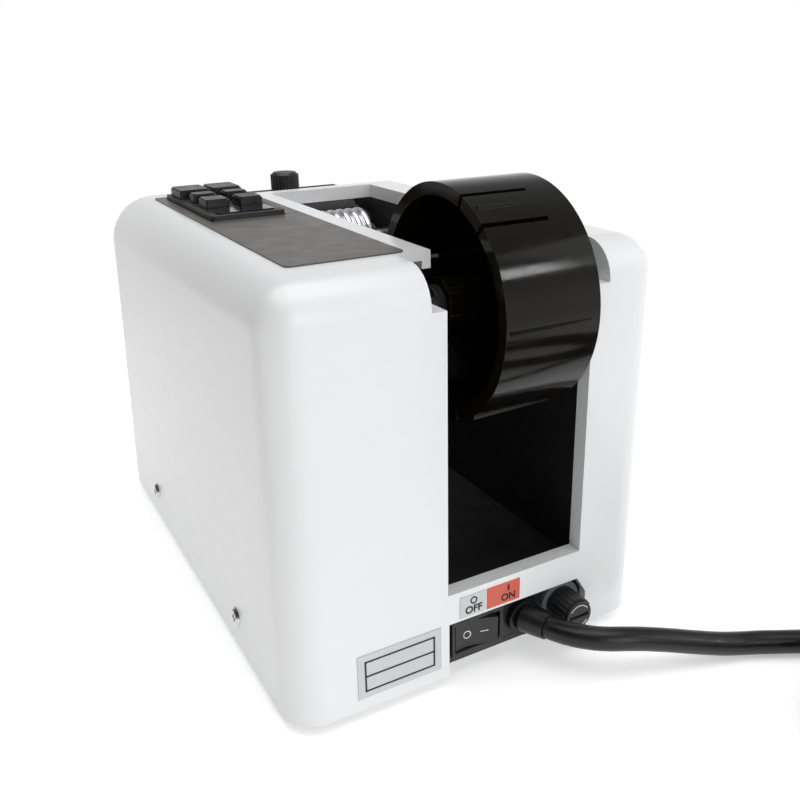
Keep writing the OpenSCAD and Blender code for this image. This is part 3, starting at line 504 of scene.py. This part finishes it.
def print_mark(name, shapes, place, material, body):
    """Printed mark with a little thickness, from flat shapes set in a plane."""
    verts, faces = [], []
    for points, loops in shapes:
        base, n = len(verts), len(points)
        verts += [place @ Vector((x, y, LIFT)) for x, y in points]
        verts += [place @ Vector((x, y, LIFT - INK)) for x, y in points]
        sides = [side for loop in loops for side in zip(loop, loop[1:] + loop[:1])]
        shared = set(sides)
        for loop in loops:
            faces.append(tuple(base + v for v in loop))
            faces.append(tuple(base + n + v for v in reversed(loop)))
        faces += [(base + b, base + a, base + n + a, base + n + b) for a, b in sides if (b, a) not in shared]
    return add_piece(name, make_mesh(name, verts, faces), material, body)


def print_word(name, word, height, centre, place, material, body):
    """Word in plain capitals, centred in a label's plane."""
    text = bpy.data.curves.new(name, "FONT")
    text.body = word
    text.size = height / CAPITAL_SHARE
    text.align_x = "CENTER"
    text.extrude = INK / 2
    text.offset = WORD_WEIGHT
    source = place_object(name + "_source", text)
    bpy.context.view_layer.update()
    mesh = bpy.data.meshes.new_from_object(source.evaluated_get(bpy.context.evaluated_depsgraph_get()))
    bpy.data.objects.remove(source)
    mesh.transform(place @ Matrix.Translation((centre[0], centre[1] - height / 2, LIFT - INK / 2)))
    return add_piece(name, mesh, material, body)


def label_plane(node):
    """Plane on the outer face of a rear piece, with its centre as the origin, and its size."""
    low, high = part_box(node)
    middle = (low + high) / 2
    return Matrix.Translation((middle.x, high.y, middle.z)) @ REAR, high.x - low.x, high.z - low.z


def mark_labels():
    """ON and OFF marks, and the ruled frame of the bare rating plate."""
    plane, _, tall = label_plane("off_label")
    ring = flat_ring(OFF_RING, (0, OFF_RING_UP * tall))
    print_mark("off_ring", [ring], plane, "ink_black", "case")
    at = (0, -WORD_DOWN * tall)
    print_word("off_word", "OFF", OFF_HEIGHT, at, plane, "ink_black", "case")
    plane, wide, tall = label_plane("on_label")
    x = ON_ASIDE * wide
    bar = flat_bar(x - ON_BAR_HALF, ON_BAR_LOW * tall, x + ON_BAR_HALF, ON_BAR_HIGH * tall)
    print_mark("on_bar", [bar], plane, "ink_black", "case")
    at = (x, -WORD_DOWN * tall)
    print_word("on_word", "ON", ON_HEIGHT, at, plane, "ink_black", "case")
    plane, wide, tall = label_plane("rating_plate")
    w, h = wide / 2 - RATING_MARGIN_X, tall / 2 - RATING_MARGIN_Z
    lines = [(-w, h - STROKE, w, h), (-w, -h, w, -h + STROKE), (-w, -h, -w + STROKE, h),
             (w - STROKE, -h, w, h), (-w, -STROKE / 2, w, STROKE / 2)]
    print_mark("rating_frame", [flat_bar(*line) for line in lines], plane, "ink_black", "case")


def mark_rocker():
    """Circle and bar on the two halves of the power rocker."""
    low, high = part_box("switch_body")
    joint = next(j for j in frame["joints"] if j["name"] == "power_rocker")
    half = (high.x - low.x) / 2 - BEZEL
    at_rest = Matrix.Rotation(math.radians(-joint["range_deg"][1] / 2), 4, "Z")
    turn = Matrix.Translation(Vector(joint["pos_m"])) @ at_rest
    slope = math.atan2(ROCKER_DISH, half / 2)
    bar = flat_bar(-ROCKER_BAR_HALF_X, -ROCKER_BAR_HALF_Z, ROCKER_BAR_HALF_X, ROCKER_BAR_HALF_Z)
    for name, side, shape in (("rocker_ring", 1, flat_ring(ROCKER_RING)), ("rocker_bar", -1, bar)):
        middle = Matrix.Translation((side * ROCKER_MARK_SHARE * half, ROCKER_FACE, 0))
        plane = turn @ middle @ Matrix.Rotation(side * slope, 4, "Z") @ REAR
        print_mark(name, [shape], plane, "ink_white", "rocker")


def mark_fuse():
    """Two plain arcs on the end of the fuse cap, each side of its slot."""
    plane, _, _ = label_plane("fuse_cap")
    arcs = [flat_ring(FUSE_ARC, sweep=FUSE_ARC_SWEEP, start=start) for start in FUSE_ARC_STARTS]
    print_mark("fuse_arcs", arcs, plane, "ink_white", "fuse_screw")


def make_sky():
    """Sky that is white at the horizon, dimmer overhead and on the operator's right."""
    world = bpy.data.worlds.new("soft_sky")
    world.use_nodes = True
    tree = world.node_tree
    add, link = node_maker(tree), tree.links.new
    place = add("ShaderNodeTexCoord")
    parts = add("ShaderNodeSeparateXYZ")
    link(place.outputs["Generated"], parts.inputs["Vector"])
    ramp = add("ShaderNodeValToRGB")
    set_ramp(ramp, SKY_STOPS)
    link(parts.outputs["Z"], ramp.inputs["Fac"])
    shade = add("ShaderNodeValToRGB")
    set_ramp(shade, SHADE_STOPS)
    link(parts.outputs["X"], shade.inputs["Fac"])
    aloft = add("ShaderNodeMapRange", From_Min=0.02, From_Max=0.3, To_Min=0.72)
    link(parts.outputs["Z"], aloft.inputs["Value"])
    mix = add("ShaderNodeMix", data_type="RGBA", blend_type="MULTIPLY")
    link(aloft.outputs["Result"], mix.inputs["Factor"])
    link(ramp.outputs["Color"], mix.inputs["A"])
    link(shade.outputs["Color"], mix.inputs["B"])
    link(mix.outputs["Result"], tree.nodes["Background"].inputs["Color"])
    bpy.context.scene.world = world


def floor_finish():
    """White sheet that glows a little and fades out into the sky away from the object."""
    material = surface("floor_white", **FLOOR_WHITE)
    tree = material.node_tree
    add, link = node_maker(tree), tree.links.new
    made = {node.type: node for node in tree.nodes}
    shader = made["BSDF_PRINCIPLED"]
    shader.inputs["Emission Color"].default_value = (1, 1, 1, 1)
    shader.inputs["Emission Strength"].default_value = FLOOR_GLOW
    away = add("ShaderNodeVectorMath", operation="LENGTH")
    link(made["TEX_COORD"].outputs["Object"], away.inputs[0])
    fade = add("ShaderNodeMapRange", interpolation_type="SMOOTHSTEP", From_Min=0.3, From_Max=0.9)
    link(away.outputs["Value"], fade.inputs["Value"])
    clear = add("ShaderNodeBsdfTransparent")
    mix = add("ShaderNodeMixShader")
    link(fade.outputs["Result"], mix.inputs["Fac"])
    link(shader.outputs["BSDF"], mix.inputs[1])
    link(clear.outputs["BSDF"], mix.inputs[2])
    link(mix.outputs["Shader"], made["OUTPUT_MATERIAL"].inputs["Surface"])
    return material


def make_stage():
    """Pale floor, sky and soft lights."""
    corners, faces = flat_bar(-FLOOR_HALF, -FLOOR_HALF, FLOOR_HALF, FLOOR_HALF)
    mesh = make_mesh("floor", [(x, y, 0) for x, y in corners], faces)
    mesh.materials.append(floor_finish())
    place_object("floor", mesh)
    make_sky()
    for name, (place, side, power) in LIGHTS.items():
        data = bpy.data.lights.new(name, "AREA")
        data.size = side
        data.energy = power
        lamp = place_object(name, data)
        lamp.location = place
        lamp.rotation_mode = "QUATERNION"
        lamp.rotation_quaternion = (LIGHT_AIM - Vector(place)).to_track_quat("-Z", "Y")
    bpy.context.scene.view_settings.view_transform = "Standard"


make_camera()
make_cord()
dress_nodes()
mark_labels()
mark_rocker()
mark_fuse()
make_stage()
